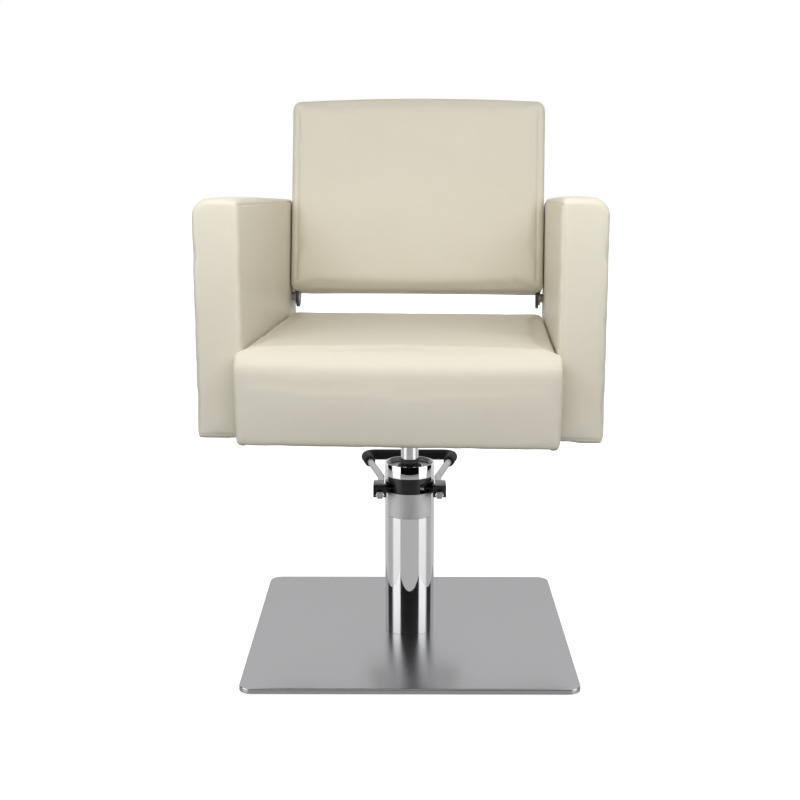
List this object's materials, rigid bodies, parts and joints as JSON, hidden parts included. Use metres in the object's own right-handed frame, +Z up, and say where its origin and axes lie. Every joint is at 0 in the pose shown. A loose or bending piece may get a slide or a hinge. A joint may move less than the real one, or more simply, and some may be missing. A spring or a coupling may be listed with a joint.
{
  "type": "reclining hairdressing chair",
  "caption": "Padded armchair with box arms and a reclining back, swivelling on a chrome hydraulic column with a foot pedal and a square steel foot.",
  "frame": {"origin": "on the floor at the swivel axis, the middle of the foot's underside", "axes": "+Z up along the swivel axis; the foot and column are square to X and Y with the pedal's crossbar towards +Y; the sitter faces -Y, the armchair being stored swivelled by 3.4 degrees clockwise from square as seen from above"},
  "size_m": [0.6332, 0.6953, 0.9243],
  "materials": {
    "upholstery": "satin",
    "brushed_steel": "satin",
    "steel": "satin",
    "satin_metal": "satin",
    "chrome": "polished",
    "black_metal": "satin",
    "rubber": "matte",
    "bronze": "satin",
    "wood": "matte",
    "black_fabric": "matte",
    "black_plastic": "matte"
  },
  "bodies": {
    "base": {"foot_mat": "rubber", "foot_core": "steel", "foot_cover": "brushed_steel", "flange_screws": "steel", "pump_cylinder": "steel", "pump_head": "black_metal", "axle_bushes": "bronze", "ram_guide": "bronze", "ram_wiper": "rubber", "column_sleeve": "chrome", "window_plate": "satin_metal", "column_cap": "chrome", "plunger_spring": "steel"},
    "pedal": {"pedal_axle": "steel", "pedal_crank": "steel", "clamp_block_left": "black_metal", "clamp_block_right": "black_metal", "clamp_nuts": "chrome", "pedal_bar": "chrome", "pedal_grip": "rubber"},
    "plunger": {"pump_plunger": "steel"},
    "ram": {"ram_rod": "chrome", "ram_piston": "bronze", "piston_nut": "steel", "thrust_washer": "bronze"},
    "armchair": {"seat_hub": "black_metal", "swivel_bush": "bronze", "hub_bolts": "steel", "seat_board": "wood", "dust_cover": "black_fabric", "seat_cushion": "upholstery", "cross_bars": "black_metal", "cross_bar_bolts": "steel", "arm_frame_left": "wood", "arm_frame_right": "wood", "arm_base_left": "black_plastic", "arm_base_right": "black_plastic", "arm_cover_left": "upholstery", "arm_cover_right": "upholstery", "pivot_bushes": "bronze", "gas_cylinder": "black_metal", "gas_saddles": "steel", "release_head": "steel", "lever_bracket": "steel"},
    "back": {"back_frame": "wood", "back_cushion": "upholstery", "rear_panel": "upholstery", "pivot_plate_left": "steel", "pivot_plate_right": "steel", "plate_screws": "steel", "pivot_shaft_left": "steel", "pivot_shaft_right": "steel", "recline_crank": "steel"},
    "gas_rod": {"gas_rod": "chrome", "rod_end": "steel", "crank_pin": "steel"},
    "release_pin": {"release_pin": "steel"},
    "release_lever": {"recline_lever": "black_metal", "lever_pin": "steel", "lever_grip": "black_plastic"}
  },
  "joints": [
    {"name": "pedal_press", "type": "hinge", "parent": "base", "child": "pedal", "pos_m": [0, -0.024, 0.2705], "axis": [-1, 0, 0], "range_deg": [0, 15], "stiffness_Nm_per_rad": 8, "springref_deg": -20.05},
    {"name": "plunger_stroke", "type": "slide", "parent": "base", "child": "plunger", "axis": [0, 0, -1], "range_m": [0, 0.0053], "deforming": ["plunger_spring"]},
    {"name": "ram_lift", "type": "slide", "parent": "base", "child": "ram", "axis": [0, 0, 1], "range_m": [-0.02, 0.13]},
    {"name": "swivel", "type": "hinge", "parent": "ram", "child": "armchair", "pos_m": [0, 0, 0.345], "axis": [0, 0, 1], "continuous": true},
    {"name": "recline", "type": "hinge", "parent": "armchair", "child": "back", "pos_m": [0.01352, 0.2276, 0.566], "axis": [-0.9982, 0.0593, 0], "range_deg": [0, 35]},
    {"name": "gas_stroke", "type": "slide", "parent": "armchair", "child": "gas_rod", "axis": [-0.0593, -0.9982, 0], "range_m": [0, 0.0372]},
    {"name": "lever_pull", "type": "hinge", "parent": "armchair", "child": "release_lever", "pos_m": [0.26325, -0.08787, 0.4654], "axis": [-0.9982, 0.0593, 0], "range_deg": [0, 8], "stiffness_Nm_per_rad": 2, "springref_deg": -17.19},
    {"name": "release_push", "type": "slide", "parent": "armchair", "child": "release_pin", "axis": [0.0593, 0.9982, 0], "range_m": [0, 0.006]}
  ],
  "couplings": [
    {"joint": "plunger_stroke", "follows": "pedal_press", "m_per_rad": 0.02},
    {"joint": "gas_stroke", "follows": "recline", "m_per_rad": 0.06049},
    {"joint": "release_push", "follows": "lever_pull", "m_per_rad": 0.042}
  ]
}
